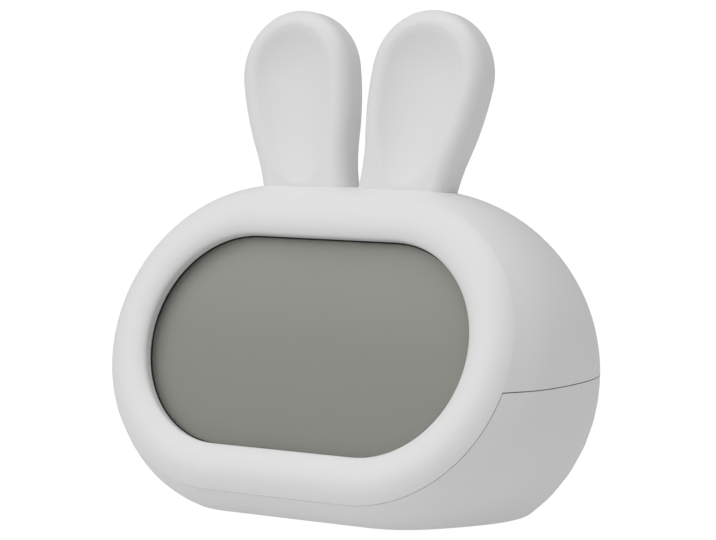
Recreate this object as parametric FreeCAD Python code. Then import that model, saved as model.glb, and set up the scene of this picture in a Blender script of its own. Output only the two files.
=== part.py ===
import FreeCAD, Part
import math
import os

V = FreeCAD.Vector
X_AXIS = V(1, 0, 0)
Y_AXIS = V(0, 1, 0)
Z_AXIS = V(0, 0, 1)

# Bedside alarm clock with a night light: a rounded body, a leaning display and two ears.
# Millimetres. X across the front, Y to the rear, Z up. The origin is on the table, under the middle.

# Front face: a recessed stadium display that leans back
FACE_LEAN = 19.5
OPENING_HEIGHT = 51.5
DISPLAY_STRAIGHT = 24.2
DISPLAY_RADIUS = 32.0
RECESS = 2.0

# Bull-nose ring round the display
RING_CREST_RADIUS = 38.0
RING_PROUD = 2.4
RING_LAND = 0.8
RING_TURN = 50.0
RING_STEPS = 3
SEAM_RADIUS = 45.6
SEAM_DEPTH = 1.0

# Body: stadium sections that swell behind the ring and close in a dome
BODY_RADIUS = 51.3
BODY_STRAIGHT = 25.1
BODY_RISE = 1.7
WIDEST_DEPTH = 24.9
NOSE_POWER = 2.65
BACK_DEPTH = 74.8
BACK_POWER = 2.44
BACK_STRAIGHT_SHARE = 0.91
BACK_DROP = 6.6
REAR_CUT = 5.3
BASE_ROUND = 3.0
REAR_ROUND = 4.0
WALL = 2.4
FRONT_STEPS = 3
BACK_STEPS = 6
LAST_TURN = 86.0

# Split between the two shells
SPLIT_HEIGHT = 42.0
SPLIT_GAP = 0.3
TONGUE_RISE = 1.8
TONGUE_CLEARANCE = 0.1
TONGUE_START = 8.0
SPIGOT_WALL = 1.6
SPIGOT_LENGTH = 1.8
SPIGOT_ROOT = 0.5

# Ears
EAR_X = 17.25
EAR_SETBACK = 30.0
EAR_ROOT = 43.7
EAR_SPLAY = 10.3
EAR_LEAN = 7.0
EAR_HEIGHT = 53.6
EAR_RADIUS = 19.3
EAR_ROOT_HALF = 15.1
EAR_BEND_SHARE = 0.63
EAR_THICKNESS = 12.4
EAR_BURIED = 7.0
RIM_ROUND = 4.2
DISH_DEPTH = 3.2
DISH_LAND = 1.4
DISH_FOOT = 0.5
DISH_CUT = 0.75
DISH_ROUND = 4.6
EAR_WELL_HALF = 10.0
EAR_WELL_THICKNESS = 4.6
EAR_WELL_TIP_HALF = 8.2
EAR_WELL_TIP_THICKNESS = 4.0
EAR_WELL_HEIGHT = 34.0

# Feet
FOOT_RADIUS = 5.0
FOOT_PROUD = 0.8
FOOT_SUNK = 0.8
FOOT_CLEARANCE = 0.1
FRONT_FOOT_X = 34.0
FRONT_FOOT_Y = -17.0
REAR_FOOT_X = 38.0
REAR_FOOT_Y = 17.0

# Battery bay under the base: three AAA cells side by side
CELL_LENGTH = 44.5
CELL_RADIUS = 5.2
CELL_PITCH = 11.2
CELL_NIPPLE = 0.9
CELL_NIPPLE_RADIUS = 1.9
CELL_SIDE_ROOM = 0.5
CONTACT = 0.5
SPRING_LENGTH = 4.2
SPRING_WIRE = 0.5
SPRING_TIP = 2.6
SPRING_ROOT = 3.6
CONTACT_HALF = 4.2
BAY_WALL = 1.6
BAY_Y = -2.5
BAY_END_ROOM = 2.2
BAY_TOP_ROOM = 0.4
LEDGE = 1.2
DOOR_THICKNESS = 1.8
DOOR_GAP = 0.3
HOOK_WIDTH = 8.0
HOOK_X = 16.0
HOOK_THICKNESS = 1.2
HOOK_REACH = 2.6
HOOK_ROOT = 1.5
HOOK_ROOM = 0.4
HOOK_LIFT = 3.0
LATCH_WIDTH = 10.0
LATCH_HEIGHT = 4.0
LATCH_ROOM = 0.8
LATCH_THICKNESS = 1.2
LATCH_BEAD = 0.4
GRIP_LENGTH = 16.0
GRIP_WIDTH = 7.0
GRIP_DEPTH = 0.9

# Housing screws from below
SCREW_RADIUS = 1.35
SCREW_HEAD_RADIUS = 2.8
SCREW_HEAD = 2.0
SCREW_BITE = 8.0
SCREW_GRIP = 3.0
PILOT_CLEARANCE = 0.05
SHANK_CLEARANCE = 0.3
HEAD_CLEARANCE = 0.2
POST_WALL = 1.2
UPPER_POST_WALL = 2.0
SIDE_POST_X = 46.0
SIDE_POST_Y = 0.0
REAR_POST_X = 24.0
REAR_POST_Y = 24.0

# Display stack behind the ring, as depths from the opening plane
GASKET = 0.4
GASKET_SHOWS = 0.4
WINDOW = 2.0
WINDOW_OVERLAP = 2.6
LCD_GAP = 0.2
LCD_LENGTH = 114.0
LCD_HEIGHT = 66.0
LCD_CORNER = 17.0
LCD_THICKNESS = 2.2
GUIDE_THICKNESS = 3.0
GUIDE_SHORT = 9.0
GUIDE_LOW = 8.0
GUIDE_CORNER = 14.0
REFLECTOR = 0.3
POCKET_CLEARANCE = 0.2
FRAME_DEPTH = 6.0
FRAME_RADIUS = 40.0
FRAME_SEAT_X = 20.0
FRAME_SEAT_UP = 37.4
FRAME_SEAT_HOLE = 1.2
FRAME_BOSS = 2.4
BOSS_ROOT = 0.5
BOARD = 1.6
SMALL_SCREW = 1.0
SMALL_HEAD = 1.9
SMALL_HEAD_HEIGHT = 1.3
SMALL_BITE = 4.0
SCREW_TIP_ROOM = 0.3
SMALL_LED = 2.8
LED_UP = 8.0
BOARD_INSET = 0.5
CHIP = 12.0
CHIP_HEIGHT = 1.4
CRYSTAL = 1.5
DRUM = 2.5
DRUM_HEIGHT = 4.0
STRIP_WIDTH = 2.0
STRIP_LENGTH = 80.0

# Keys on the rear
KEY_RADIUS = 3.5
KEY_GAP = 0.3
KEY_PROUD = 1.2
KEY_FLANGE = 1.1
KEY_FLANGE_THICKNESS = 1.1
KEY_X = [-31.0, -17.0, 17.0, 31.0]
KEY_NAMES = ["set_key", "alarm_key", "minus_key", "plus_key"]
KEY_RISE = 12.5
KEY_BOSS_X = 24.0
KEY_BOSS = 2.1
KEY_SEAT_GAP = 0.1
KEY_EDGE = 0.5
SWITCH_SIDE = 6.0
SWITCH_HEIGHT = 3.5
SWITCH_BORE_DEPTH = 1.6
PLUNGER_RADIUS = 1.7
PLUNGER_CLEARANCE = 0.08
PLUNGER_SHOWS = 1.0
PLUNGER_SUNK = 0.7
KEY_BOARD_HALF = 38.0
KEY_BOARD_HEIGHT = 16.0

# Speaker behind a ring of holes
SPEAKER_RADIUS = 10.0
SPEAKER_DEPTH = 4.0
SPEAKER_FOAM = 0.5
FOAM_WIDTH = 1.5
MAGNET_RADIUS = 6.5
CONE_SMALL = 3.0
CONE_DEPTH = 1.5
CONE_MARGIN = 1.0
PAD_RADIUS = 6.0
COLLAR_WALL = 1.4
COLLAR_CLEARANCE = 0.2
COLLAR_SETBACK = 0.5
GRILLE_HOLE = 0.7
GRILLE_PITCH = 2.6
GRILLE_ROUNDS = 3

# Power socket and alarm switch below the split
POWER_DROP = 8.8
SOCKET_X = -17.0
SOCKET_WIDTH = 7.6
SOCKET_HEIGHT = 2.9
SOCKET_LENGTH = 5.4
SOCKET_SKIN = 0.35
SOCKET_ROOM_X = 11.2
SOCKET_ROOM_Z = 6.6
SLIDE_X = 14.0
SLIDE_BODY = (9.0, 4.0, 3.6)
SLIDE_TRAVEL = 3.0
KNOB_WIDTH = 3.6
KNOB_HEIGHT = 3.0
KNOB_PROUD = 1.0
KNOB_GAP = 0.3
KNOB_FLANGE = 0.8
KNOB_FLANGE_GAP = 0.1
KNOB_FLANGE_OVERLAP = 1.0
POWER_BOSS_X = [-2.0, 24.5]
POWER_BOARD_HALF = 27.0
POWER_BOARD_HEIGHT = 10.0

# Snooze and light button on top, behind the ears
TOP_BUTTON_DEPTH = 35.0
TOP_BUTTON_STRAIGHT = 6.0
TOP_BUTTON_RADIUS = 5.5
TOP_BUTTON_GAP = 0.35
TOP_BUTTON_PROUD = 0.9
TOP_BUTTON_FLANGE = 1.2
TOP_BUTTON_SEAT_GAP = 0.8
TOP_BUTTON_WALL = 1.2
TOP_BUTTON_EDGE = 0.6
TOP_STEM = 2.0
TOP_BUTTON_SKIRT = 4.2
TOP_BUTTON_SKIN = 1.5
TOP_BOARD_HALF = 18.0
TOP_BOARD_WIDTH = 11.0
TOP_POST_X = 15.6

# Night-light board under the ears
LIGHT_BOARD_HALF = 35.0
LIGHT_BOARD_WIDTH = 13.0
LIGHT_BOARD_DROP = 8.0
LIGHT_BOARD = 1.2
LIGHT_POST_X = 31.0
LED_RADIUS = 1.5
LED_HEIGHT = 3.0
LED_PAIR = 7.0

# Room that a cutting tool takes beyond the wall it goes through, and past everything
PAST = 1.0
BIG = 400.0

# Where the leaning face and the rear stand, so that the body is centred on the origin
LEAN_SIN = math.sin(math.radians(FACE_LEAN))
LEAN_COS = math.cos(math.radians(FACE_LEAN))
BASE_Z = FOOT_PROUD
RING_OUTER = RING_CREST_RADIUS + RING_LAND / 2
RING_INNER = RING_CREST_RADIUS - RING_LAND / 2
RING_SPREAD = (SEAM_RADIUS - RING_OUTER) / math.sin(math.radians(RING_TURN))
RING_FALL = (SEAM_DEPTH + RING_PROUD) / (1 - math.cos(math.radians(RING_TURN)))
RING_FRONT = (
    RING_OUTER * LEAN_SIN
    - (RING_FALL - RING_PROUD) * LEAN_COS
    + math.hypot(RING_SPREAD * LEAN_SIN, RING_FALL * LEAN_COS)
)
REAR_DISTANCE = BACK_DEPTH - REAR_CUT
FACE_Y = (RING_FRONT - REAR_DISTANCE - KEY_PROUD) / 2
FACE_Z = BASE_Z + OPENING_HEIGHT
REAR_Y = FACE_Y + REAR_DISTANCE
EAR_Y = FACE_Y + EAR_SETBACK
SPLIT_Z = BASE_Z + SPLIT_HEIGHT
KEY_Z = SPLIT_Z + KEY_RISE
POWER_Z = SPLIT_Z - POWER_DROP
LIGHT_BOARD_Z = FACE_Z + EAR_ROOT - LIGHT_BOARD_DROP
FACE = FreeCAD.Placement(V(0, FACE_Y, FACE_Z), FreeCAD.Rotation(X_AXIS, 90 - FACE_LEAN))

WINDOW_FRONT = RECESS + GASKET
WINDOW_BACK = WINDOW_FRONT + WINDOW
LCD_FRONT = WINDOW_BACK + LCD_GAP
LCD_BACK = LCD_FRONT + LCD_THICKNESS
GUIDE_BACK = LCD_BACK + GUIDE_THICKNESS
FRAME_BACK = WINDOW_BACK + FRAME_DEPTH
BOARD_BACK = FRAME_BACK + BOARD


def placed(shape, placement):
    out = shape.copy()
    out.Placement = placement.multiply(out.Placement)
    return out


def on_face(shape):
    # local X across, Y up the face, Z out of it
    return placed(shape, FACE)


def stadium(half_straight, radius, z=0.0, rise=0.0):
    low, high = rise - radius, rise + radius
    a, b = V(-half_straight, low, z), V(half_straight, low, z)
    c, d = V(half_straight, high, z), V(-half_straight, high, z)
    right = Part.Arc(b, V(half_straight + radius, rise, z), c).toShape()
    left = Part.Arc(d, V(-half_straight - radius, rise, z), a).toShape()
    return Part.Wire([Part.makeLine(a, b), right, Part.makeLine(c, d), left])


def stadium_plate(half_straight, radius, front, back):
    # a plate in the face's frame, between two depths behind the opening plane
    face = Part.Face(stadium(half_straight, radius, -back))
    return face.extrude(V(0, 0, back - front))


def loft(wires, ruled=False):
    # a solid whose faces point outwards, whichever way its sections run
    shape = Part.makeLoft(wires, True, ruled)
    if shape.Volume < 0:
        shape.reverse()
    return shape


def block(x, y, z):
    # a box from three (low, high) pairs
    return Part.makeBox(x[1] - x[0], y[1] - y[0], z[1] - z[0], V(x[0], y[0], z[0]))


def rod(radius, start, length, direction):
    return Part.makeCylinder(radius, length, start, direction)


def solids(shapes):
    return Part.Compound([solid for shape in shapes for solid in shape.Solids])


def save(name, shape):
    if len(shape.Solids) == 1:
        shape = shape.Solids[0]
    shape.exportStep("parts/" + name + ".step")


def body_section(depth, inset):
    # half straight, radius and rise of the body's stadium at a depth behind the opening plane
    if depth < WIDEST_DEPTH:
        share = (WIDEST_DEPTH - depth) / (WIDEST_DEPTH - SEAM_DEPTH)
        swell = 1 - share ** NOSE_POWER
        radius = SEAM_RADIUS + (BODY_RADIUS - SEAM_RADIUS) * swell
        half = DISPLAY_STRAIGHT + (BODY_STRAIGHT - DISPLAY_STRAIGHT) * swell
        return half, radius - inset, BODY_RISE * (1 - share)
    share = (depth - WIDEST_DEPTH) / (BACK_DEPTH - inset - WIDEST_DEPTH)
    left = max(1 - share ** BACK_POWER, 0) ** (1 / BACK_POWER)
    half = BODY_STRAIGHT * (BACK_STRAIGHT_SHARE + (1 - BACK_STRAIGHT_SHARE) * left)
    return half, (BODY_RADIUS - inset) * left, BODY_RISE - BACK_DROP * share * share


def body_depths(start, inset):
    # close together where the form turns fast
    front = [start + (WIDEST_DEPTH - start) * k / FRONT_STEPS for k in range(FRONT_STEPS)]
    reach = BACK_DEPTH - inset - WIDEST_DEPTH
    turns = [math.radians(LAST_TURN * k / BACK_STEPS) for k in range(BACK_STEPS + 1)]
    return front + [WIDEST_DEPTH + reach * math.sin(a) ** (2 / BACK_POWER) for a in turns]


def body_loft(start, inset):
    wires = []
    for depth in body_depths(start, inset):
        half, radius, rise = body_section(depth, inset)
        wires.append(stadium(half, radius, -depth, rise))
    return loft(wires)


def ring_section(turn):
    # radius and depth on the ring's outer round
    angle = math.radians(turn)
    depth = RING_FALL * (1 - math.cos(angle)) - RING_PROUD
    return RING_OUTER + RING_SPREAD * math.sin(angle), depth


def nose_loft():
    wires = []
    for k in range(RING_STEPS + 1):
        radius, depth = ring_section(RING_TURN * k / RING_STEPS)
        wires.append(stadium(DISPLAY_STRAIGHT, radius, -depth))
    return loft(wires)


def throat():
    # the space in front of the display, which the ring's inner round leaves open
    reach = RING_INNER - DISPLAY_RADIUS
    top = RING_PROUD + WALL
    ellipse = Part.Ellipse(V(0, DISPLAY_RADIUS, 0), V(0, RING_INNER, RING_PROUD), V(0, RING_INNER, 0))
    profile = Part.Face(Part.Wire([
        Part.ArcOfEllipse(ellipse, 0, math.pi / 2).toShape(),
        Part.makeLine(V(0, RING_INNER, RING_PROUD), V(0, RING_INNER, top)),
        Part.makeLine(V(0, RING_INNER, top), V(0, DISPLAY_RADIUS - reach, top)),
        Part.makeLine(V(0, DISPLAY_RADIUS - reach, top), V(0, DISPLAY_RADIUS - reach, 0)),
        Part.makeLine(V(0, DISPLAY_RADIUS - reach, 0), V(0, DISPLAY_RADIUS, 0)),
    ]))
    pieces = [stadium_plate(DISPLAY_STRAIGHT, DISPLAY_RADIUS, -top, WINDOW_FRONT + WALL)]
    for side in (1, -1):
        half = profile.copy()
        if side < 0:
            half.rotate(V(0, 0, 0), Z_AXIS, 180)
        half.translate(V(side * DISPLAY_STRAIGHT, 0, 0))
        pieces.append(half.extrude(V(-side * 2 * DISPLAY_STRAIGHT, 0, 0)))
        pieces.append(half.revolve(V(side * DISPLAY_STRAIGHT, 0, 0), Z_AXIS, -180))
    return on_face(pieces[0].fuse(pieces[1:]))


def flat_cut(shape, inset):
    # the flat base and the flat rear
    keep = block((-BIG, BIG), (-BIG, REAR_Y - inset), (BASE_Z + inset, BIG))
    return shape.common(keep)


def round_flats(shape):
    # soften the edges of the base and of the rear flat
    for axis, place, radius in (("z", BASE_Z, BASE_ROUND), ("y", REAR_Y, REAR_ROUND)):
        edges = []
        for edge in shape.Edges:
            box = edge.BoundBox
            low, high = (box.ZMin, box.ZMax) if axis == "z" else (box.YMin, box.YMax)
            if abs(low - place) < 0.01 and abs(high - place) < 0.01:
                edges.append(edge)
        shape = shape.makeFillet(radius, edges)
    return shape


def outer_body():
    nose = on_face(nose_loft())
    body = on_face(body_loft(SEAM_DEPTH, 0.0))
    return round_flats(flat_cut(nose.fuse(body), 0.0))


def inner_body(inset):
    # the hollow: it starts flat behind the ring and follows the outside at one inset
    wires = []
    for depth in body_depths(RECESS, inset):
        half, radius, rise = body_section(depth, inset)
        wires.append(stadium(half, radius, -depth, rise))
    return flat_cut(on_face(loft(wires)), inset)


def shell_zones():
    # what belongs to the lower shell, once as its own body and once as the cut in the upper one
    zones = []
    for gap in (SPLIT_GAP, 0.0):
        level = SPLIT_Z - gap / 2 if gap else SPLIT_Z + SPLIT_GAP / 2
        behind = on_face(block((-BIG, BIG), (-BIG, BIG), (-BIG, -SEAM_DEPTH - gap)))
        below = block((-BIG, BIG), (-BIG, BIG), (-BIG, level))
        reach = SEAM_RADIUS - WALL + (TONGUE_CLEARANCE if gap else 0.0)
        spigot = on_face(stadium_plate(DISPLAY_STRAIGHT, reach, -RING_PROUD, RECESS + SPIGOT_LENGTH))
        zones.append(behind.common(below).cut(spigot))
    return zones


def tongue_band(clearance, rise):
    # the inner half of the wall, just above the level part of the split
    band = inner_body(WALL / 2 + clearance)
    level = (SPLIT_Z - SPLIT_GAP / 2 - WALL / 2, SPLIT_Z + rise)
    if not clearance:
        level = (SPLIT_Z, level[1])
    slab = block((-BIG, BIG), (-BIG, BIG), level)
    start = TONGUE_START - (0.0 if clearance else TONGUE_CLEARANCE)
    behind = on_face(block((-BIG, BIG), (-BIG, BIG), (-BIG, -start)))
    return band.common(slab).common(behind)


def ear_outline(y):
    # the spoon outline: a round tip, sides that bow out and in again, and a buried root
    width, root = EAR_RADIUS, EAR_ROOT_HALF
    centre = EAR_HEIGHT - EAR_RADIUS
    both = ((width - root) ** 2 + centre ** 2) / (2 * (width - root))
    bend = math.asin(centre / both)
    out, back = both * EAR_BEND_SHARE, both * (1 - EAR_BEND_SHARE)
    bowed = (width - out * (1 - math.cos(bend / 2)), centre - out * math.sin(bend / 2))
    turn = (width - out * (1 - math.cos(bend)), centre - out * math.sin(bend))
    hollow = (root + back * (1 - math.cos(bend / 2)), back * math.sin(bend / 2))
    edges = [Part.makeLine(V(-root, y, -EAR_BURIED), V(root, y, -EAR_BURIED))]
    edges.append(Part.Arc(V(width, y, centre), V(0, y, EAR_HEIGHT), V(-width, y, centre)).toShape())
    for side in (1, -1):
        at = [V(side * x, y, z) for x, z in ((root, 0), hollow, turn, bowed, (width, centre))]
        edges.append(Part.makeLine(V(side * root, y, -EAR_BURIED), at[0]))
        edges.append(Part.Arc(at[0], at[1], at[2]).toShape())
        edges.append(Part.Arc(at[2], at[3], at[4]).toShape())
    return Part.Wire(Part.__sortEdges__(edges))


def ear_place(side):
    lean = FreeCAD.Rotation(X_AXIS, -EAR_LEAN)
    splay = FreeCAD.Rotation(Y_AXIS, side * EAR_SPLAY)
    return FreeCAD.Placement(V(side * EAR_X, EAR_Y, FACE_Z + EAR_ROOT), lean.multiply(splay))


def ear_solid():
    # a spoon with rounded rims, dished in front
    half = EAR_THICKNESS / 2
    ear = Part.Face(ear_outline(-half)).extrude(V(0, EAR_THICKNESS, 0))
    rims = []
    for edge in ear.Edges:
        box = edge.BoundBox
        flat = abs(box.YMax - box.YMin) < 0.01
        if flat and box.ZMax > -EAR_BURIED + 0.1:
            rims.append(edge)
    ear = ear.makeFillet(RIM_ROUND, rims)
    centre = EAR_HEIGHT - EAR_RADIUS
    reach = EAR_RADIUS - RIM_ROUND - DISH_LAND
    share = math.sqrt(1 - DISH_CUT ** 2)
    deep = DISH_DEPTH / (1 - DISH_CUT)
    halves = []
    for length, low, high in ((reach, 0, 90), (centre - DISH_FOOT, -90, 0)):
        scale = FreeCAD.Matrix()
        scale.scale(reach / share, deep, length / share)
        halves.append(Part.makeSphere(1.0, V(0, 0, 0), Z_AXIS, low, high, 360).transformGeometry(scale))
    bowl = halves[0].fuse(halves[1])
    bowl.translate(V(0, -half - DISH_CUT * deep, centre))
    ear = ear.cut(bowl)
    lip = []
    for edge in ear.Edges:
        box = edge.BoundBox
        flat = abs(box.YMax + half) < 0.01 and abs(box.YMin + half) < 0.01
        if flat and box.ZMin > -EAR_BURIED / 2 and max(box.XMax, -box.XMin) < reach + DISH_LAND / 2:
            lip.append(edge)
    return ear.makeFillet(DISH_ROUND, lip)


def ear_well():
    # the hollow that lets the night light into the ear
    low, high = EAR_WELL_THICKNESS / 2, EAR_WELL_TIP_THICKNESS / 2
    mouth = stadium(EAR_WELL_HALF - low, low, -EAR_BURIED - WALL, 0.0)
    end = stadium(EAR_WELL_TIP_HALF - high, high, EAR_WELL_HEIGHT, 0.0)
    well = loft([mouth, end], True)
    well.translate(V(0, DISH_DEPTH / 2, 0))
    return well


def posts(places, radius, low, high):
    return [rod(radius, V(x, y, low), high - low, Z_AXIS) for x, y in places]


def mirrored(points):
    return [(side * x, y) for x, y in points for side in (-1, 1)]


SCREW_PLACES = mirrored([(SIDE_POST_X, SIDE_POST_Y), (REAR_POST_X, REAR_POST_Y)])
FOOT_PLACES = mirrored([(FRONT_FOOT_X, FRONT_FOOT_Y), (REAR_FOOT_X, REAR_FOOT_Y)])
FRAME_SEATS = [(side * (DISPLAY_STRAIGHT + FRAME_SEAT_UP), 0.0) for side in (-1, 1)]
FRAME_SEATS += [(x, v) for x in (-FRAME_SEAT_X, FRAME_SEAT_X) for v in (-FRAME_SEAT_UP, FRAME_SEAT_UP)]
LOWER_POST_TOP = SPLIT_Z - SPLIT_GAP / 2
UPPER_POST_LOW = SPLIT_Z + SPLIT_GAP / 2
SCREW_SEAT = LOWER_POST_TOP - SCREW_GRIP
LOWER_POST_RADIUS = SCREW_HEAD_RADIUS + HEAD_CLEARANCE + POST_WALL
UPPER_POST_RADIUS = SCREW_RADIUS + UPPER_POST_WALL

# The rear stack, from the rear flat inwards
REAR_INNER = REAR_Y - WALL
FLANGE_OUT = REAR_INNER - KEY_SEAT_GAP
FLANGE_IN = FLANGE_OUT - KEY_FLANGE_THICKNESS
SWITCH_TOP = FLANGE_IN - PLUNGER_SHOWS
REAR_BOARD = SWITCH_TOP - SWITCH_HEIGHT
SPEAKER_BACK = REAR_INNER - SPEAKER_FOAM - SPEAKER_DEPTH

# The top button's own frame: local Z is the body's outward normal there
TOP_HALF, TOP_RADIUS_HERE, TOP_RISE = body_section(TOP_BUTTON_DEPTH, 0.0)
AHEAD = body_section(TOP_BUTTON_DEPTH - 0.5, 0.0)
BEHIND = body_section(TOP_BUTTON_DEPTH + 0.5, 0.0)
TOP_SLOPE = (AHEAD[1] + AHEAD[2]) - (BEHIND[1] + BEHIND[2])
TOP_TILT = FACE_LEAN + math.degrees(math.atan(TOP_SLOPE))
TOP_POINT = FACE.multVec(V(0, TOP_RADIUS_HERE + TOP_RISE, -TOP_BUTTON_DEPTH))
TOP = FreeCAD.Placement(TOP_POINT, FreeCAD.Rotation(X_AXIS, -TOP_TILT))
TOP_SWITCH = -TOP_BUTTON_SKIRT - PLUNGER_SHOWS
TOP_BOARD_TOP = TOP_SWITCH - SWITCH_HEIGHT

# The battery bay, from its own contents
BAY_HALF = (CELL_LENGTH + 2 * CONTACT + SPRING_LENGTH) / 2
BAY_FRONT = BAY_Y - CELL_PITCH - CELL_RADIUS - CELL_SIDE_ROOM - BAY_END_ROOM
BAY_REAR = BAY_Y + CELL_PITCH + CELL_RADIUS + CELL_SIDE_ROOM + BAY_END_ROOM
DOOR_TOP = BASE_Z + DOOR_THICKNESS
BAY_TOP = DOOR_TOP + 2 * CELL_RADIUS + BAY_TOP_ROOM
CELL_Z = DOOR_TOP + BAY_TOP_ROOM / 2 + CELL_RADIUS
FLOOR_TOP = BASE_Z + WALL
DOOR_X = BAY_HALF + LEDGE
DOOR_REAR = BAY_REAR + LEDGE


def top_plate(half, radius, low, high):
    face = Part.Face(stadium(half, radius, low))
    return placed(face.extrude(V(0, 0, high - low)), TOP)


def upper_shell(outer, inner, middle, zone):
    ears = [placed(ear_solid(), ear_place(side)) for side in (-1, 1)]
    shell = outer.fuse(ears).cut(throat()).cut(inner).cut(zone)
    lamp_posts = mirrored([(LIGHT_POST_X, EAR_Y)])
    lamp_seat = LIGHT_BOARD_Z + LIGHT_BOARD
    added = posts(SCREW_PLACES, UPPER_POST_RADIUS, UPPER_POST_LOW, BIG)
    added += posts(lamp_posts, KEY_BOSS, lamp_seat, BIG)
    for side in (-1, 1):
        added.append(placed(rod(KEY_BOSS, V(side * TOP_POST_X, 0, TOP_BOARD_TOP), BIG, Z_AXIS), TOP))
        added.append(rod(KEY_BOSS, V(side * KEY_BOSS_X, REAR_BOARD, KEY_Z), BIG, Y_AXIS))
    bore = SPEAKER_RADIUS + COLLAR_CLEARANCE
    collar = rod(bore + COLLAR_WALL, V(0, SPEAKER_BACK + COLLAR_SETBACK, KEY_Z), BIG, Y_AXIS)
    added.append(collar.cut(rod(bore, V(0, 0, KEY_Z), REAR_INNER, Y_AXIS)))
    added = [piece.common(middle) for piece in added]

    spigot_end = RECESS + SPIGOT_LENGTH
    spigot_radius = SEAM_RADIUS - WALL
    spigot = stadium_plate(DISPLAY_STRAIGHT, spigot_radius, RECESS - SPIGOT_ROOT, spigot_end)
    spigot = spigot.cut(stadium_plate(DISPLAY_STRAIGHT, spigot_radius - SPIGOT_WALL, 0, spigot_end))
    added.append(on_face(spigot).common(block((-BIG, BIG), (-BIG, BIG), (-BIG, UPPER_POST_LOW))))
    boss = WINDOW_BACK - RECESS + BOSS_ROOT
    added += [on_face(rod(FRAME_BOSS, V(x, v, -WINDOW_BACK), boss, Z_AXIS)) for x, v in FRAME_SEATS]
    shell = shell.fuse(added)

    pilot = SMALL_SCREW + PILOT_CLEARANCE
    bite = SMALL_BITE + PAST
    cuts = [placed(ear_well(), ear_place(side)) for side in (-1, 1)]
    cuts += posts(SCREW_PLACES, SCREW_RADIUS + PILOT_CLEARANCE, SPLIT_Z - PAST, UPPER_POST_LOW + SCREW_BITE + PAST)
    cuts += posts(lamp_posts, pilot, LIGHT_BOARD_Z, lamp_seat + SMALL_BITE)
    for side in (-1, 1):
        cuts.append(placed(rod(pilot, V(side * TOP_POST_X, 0, TOP_BOARD_TOP - PAST), bite, Z_AXIS), TOP))
        cuts.append(rod(pilot, V(side * KEY_BOSS_X, REAR_BOARD - PAST, KEY_Z), bite, Y_AXIS))
    cuts += [on_face(rod(pilot, V(x, v, -WINDOW_BACK - PAST), bite, Z_AXIS)) for x, v in FRAME_SEATS]
    through = WALL + 2 * PAST
    for x in KEY_X:
        cuts.append(rod(KEY_RADIUS + KEY_GAP, V(x, REAR_INNER - PAST, KEY_Z), through, Y_AXIS))
    for x, z in grille_places():
        cuts.append(rod(GRILLE_HOLE, V(x, REAR_INNER - PAST, KEY_Z + z), through, Y_AXIS))
    cuts.append(top_plate(TOP_BUTTON_STRAIGHT, TOP_BUTTON_RADIUS, -2 * WALL, 2 * WALL))
    shell = shell.cut(cuts)
    return shell.cut(tongue_band(0.0, TONGUE_RISE + SPLIT_GAP))


def grille_places():
    # rings of holes about a middle one, six more in each ring
    places = [(0.0, 0.0)]
    for ring in range(1, GRILLE_ROUNDS):
        for k in range(6 * ring):
            angle = math.pi * k / (3 * ring)
            places.append((ring * GRILLE_PITCH * math.cos(angle), ring * GRILLE_PITCH * math.sin(angle)))
    return places


def lower_shell(outer, inner, middle, zone):
    shell = outer.cut(inner).common(zone)
    added = [tongue_band(TONGUE_CLEARANCE, TONGUE_RISE).cut(inner)]
    tubes = posts(SCREW_PLACES, LOWER_POST_RADIUS, BASE_Z + WALL / 2, LOWER_POST_TOP)
    added += [tube.common(middle) for tube in tubes]
    bay_x = (-BAY_HALF - BAY_WALL, BAY_HALF + BAY_WALL)
    bay_y = (BAY_FRONT - BAY_WALL, BAY_REAR + BAY_WALL)
    added.append(block(bay_x, bay_y, (BASE_Z + WALL / 2, BAY_TOP + BAY_WALL)))
    for x in POWER_BOSS_X:
        added.append(rod(KEY_BOSS, V(x, REAR_BOARD, POWER_Z), BIG, Y_AXIS).common(middle))
    shell = shell.fuse(added)

    cuts = [block((-BAY_HALF, BAY_HALF), (BAY_FRONT, BAY_REAR), (0, BAY_TOP))]
    cuts.append(block((-DOOR_X, DOOR_X), (BAY_FRONT, DOOR_REAR), (0, DOOR_TOP)))
    reach = HOOK_WIDTH / 2 + HOOK_ROOM
    hook_y = (BAY_FRONT - BAY_WALL - PAST, BAY_FRONT + PAST)
    for x in (-HOOK_X, HOOK_X):
        cuts.append(block((x - reach, x + reach), hook_y, (FLOOR_TOP, FLOOR_TOP + HOOK_LIFT)))
    cuts += posts(SCREW_PLACES, SCREW_HEAD_RADIUS + HEAD_CLEARANCE, 0, SCREW_SEAT)
    cuts += posts(SCREW_PLACES, SCREW_RADIUS + SHANK_CLEARANCE, 0, SPLIT_Z)
    cuts += posts(FOOT_PLACES, FOOT_RADIUS + FOOT_CLEARANCE, 0, BASE_Z + FOOT_SUNK)
    for x in POWER_BOSS_X:
        pilot = rod(SMALL_SCREW + PILOT_CLEARANCE, V(x, REAR_BOARD - PAST, POWER_Z), SMALL_BITE + PAST, Y_AXIS)
        cuts.append(pilot)
    slot = (KNOB_WIDTH + SLIDE_TRAVEL) / 2 + KNOB_GAP
    for x, half, up in (
        (SOCKET_X, SOCKET_ROOM_X / 2, SOCKET_ROOM_Z / 2),
        (SLIDE_X, slot, KNOB_HEIGHT / 2 + KNOB_GAP),
    ):
        cuts.append(block((x - half, x + half), (REAR_INNER - PAST, REAR_Y + PAST), (POWER_Z - up, POWER_Z + up)))
    return shell.cut(cuts)


def screw(point, direction, shank, radius, head_radius, head):
    # a pan-head screw: the seat is at the point, the shank runs on along the direction
    body = rod(radius, point, shank, direction)
    cap = rod(head_radius, point, head, V(0, 0, 0) - direction)
    return body.fuse(cap).removeSplitter()


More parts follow.
